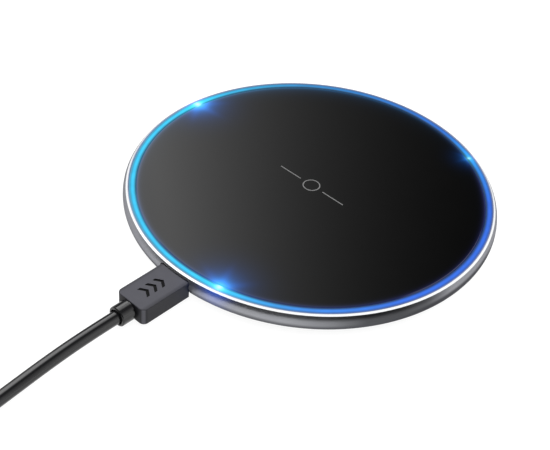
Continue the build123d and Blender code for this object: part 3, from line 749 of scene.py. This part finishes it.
def pale_floor():
    """White paper, lit from below too so that shadows on it stay faint, and clear from below."""
    material = bpy.data.materials.new("pale_floor")
    tree = Tree(material)
    tone = tree.mix(tree.noise(tree.place()[0], 50 * MM), *FLOOR_TONES)
    paper = tree.add("ShaderNodeBsdfDiffuse")
    tree.feed(paper.inputs["Color"], tone)
    light = tree.add("ShaderNodeEmission")
    light.inputs["Strength"].default_value = FLOOR_GLOW
    both = tree.add("ShaderNodeAddShader")
    tree.feed(both.inputs[0], paper.outputs[0])
    tree.feed(both.inputs[1], light.outputs[0])
    sides = tree.add("ShaderNodeMixShader")
    tree.feed(sides.inputs[0], tree.add("ShaderNodeNewGeometry").outputs["Backfacing"])
    tree.feed(sides.inputs[1], both.outputs[0])
    tree.feed(sides.inputs[2], tree.add("ShaderNodeBsdfTransparent").outputs[0])
    output = tree.add("ShaderNodeOutputMaterial")
    tree.feed(output.inputs["Surface"], sides.outputs[0])
    return material


def make_floor():
    mesh = bpy.data.meshes.new("floor")
    turns = ((-1, -1), (1, -1), (1, 1), (-1, 1))
    mesh.from_pydata([(x * FLOOR_HALF, y * FLOOR_HALF, 0) for x, y in turns], [], [(0, 1, 2, 3)])
    floor = add_object("floor", mesh)
    floor.location.z = FLOOR_Z
    floor.data.materials.append(pale_floor())


# Headings are angles from +X, heights are sines, and a pair of either is where a light begins
# and where it is full, or the other way round.
SIDE_HALF = radians(43.2)  # half width of the broad light at -X, where the sine is SIDE_LEAN_FROM
SIDE_LEAN = 0.4  # how much wider it is, in radians, for each step up in the sine
SIDE_LEAN_FROM = 0.66
SIDE_FALL = radians(6.9)  # how far its edge fades
SIDE_POWER = 1.17  # how square that fade is: 1 is plain exponential
SIDE_LEVEL = 1.43
SIDE_RISE = (0.45, 0.57)
LEFT_MIDDLE = radians(186)  # a patch below it, clear of what the glass mirrors from the front
LEFT_HALF = (radians(22), radians(32))
LEFT_END = (0.60, 0.70)
WINDOW_MIDDLE = radians(60)  # an upright light at the back right
WINDOW_HALF = (radians(35), radians(50))
WINDOW_RISE = (0.02, 0.1)
WALL_MIDDLE = radians(125)  # a pale wall along the horizon
WALL_HALF = (radians(90), radians(125))
WALL_END = (0.06, 0.2)
OVERHEAD = (0.76, 0.86)
SOFT_LEVEL = 1.1  # of the patch, the window and the overhead light
DARK = 0.008
BACKDROP = 1.2  # the plain white that the camera sees behind it all


def make_dome():
    """A dark room round the pad, with five soft lights in it, that the camera sees as white."""
    world = bpy.data.worlds.new("studio")
    bpy.context.scene.world = world
    tree = Tree(world)
    parts = tree.add("ShaderNodeSeparateXYZ")
    tree.feed(parts.inputs[0], tree.add("ShaderNodeTexCoord").outputs["Generated"])
    x, y, z = parts.outputs

    def off_heading(angle):
        """How far a heading stands from an angle, 0 to pi."""
        return tree.math("ABSOLUTE", tree.math("SUBTRACT", angle_from(tree, x, y, angle - pi), pi))

    def between(middle, half, height):
        """A light about a heading: half is where it begins to end sideways and where it has."""
        return tree.product(height, tree.ramp(off_heading(middle), *half, 1.0, 0.0))

    edge = tree.math("MULTIPLY_ADD", z, SIDE_LEAN, SIDE_HALF - SIDE_LEAN * SIDE_LEAN_FROM)
    beyond = tree.math("MAXIMUM", tree.math("SUBTRACT", off_heading(pi), edge), 0.0)
    fall = tree.math("POWER", tree.math("DIVIDE", beyond, SIDE_FALL), SIDE_POWER)
    side = tree.math("EXPONENT", tree.math("MULTIPLY", fall, -1.0))
    lights = (
        tree.product(side, tree.ramp(z, *SIDE_RISE, 0.0, SIDE_LEVEL)),
        between(WALL_MIDDLE, WALL_HALF, tree.ramp(z, *WALL_END, 1.0, 0.0)),
        between(LEFT_MIDDLE, LEFT_HALF, tree.ramp(z, *LEFT_END, SOFT_LEVEL, 0.0)),
        between(WINDOW_MIDDLE, WINDOW_HALF, tree.ramp(z, *WINDOW_RISE, 0.0, SOFT_LEVEL)),
        tree.ramp(z, *OVERHEAD, 0.0, SOFT_LEVEL),
    )
    level = DARK
    for light in lights:
        level = tree.math("MAXIMUM", level, light)
    seen = tree.add("ShaderNodeLightPath").outputs["Is Camera Ray"]
    background = tree.add("ShaderNodeBackground")
    background.inputs["Color"].default_value = (1.0, 1.0, 1.0, 1.0)
    tree.feed(background.inputs["Strength"], tree.ramp(seen, 0.0, 1.0, level, BACKDROP, soft=False))
    output = tree.add("ShaderNodeOutputWorld")
    tree.feed(output.inputs["Surface"], background.outputs[0])


def make_top_fill():
    """A broad soft light overhead that shows in no gloss."""
    data = bpy.data.lights.new("top_fill", "AREA")
    data.shape = "DISK"
    data.size = 1.6
    data.energy = 24.0
    light = add_object("top_fill", data)
    place = Vector((0.1, -0.1, 1.0))
    light.location = place
    light.rotation_mode = "QUATERNION"
    light.rotation_quaternion = (-place).to_track_quat("-Z", "Y")
    light.visible_glossy = False


def make_studio():
    bpy.context.scene.view_settings.view_transform = "Standard"
    make_floor()
    make_dome()
    make_top_fill()


make_camera()
make_cord()
dress_nodes(make_finishes())
make_centre_mark()
make_studio()
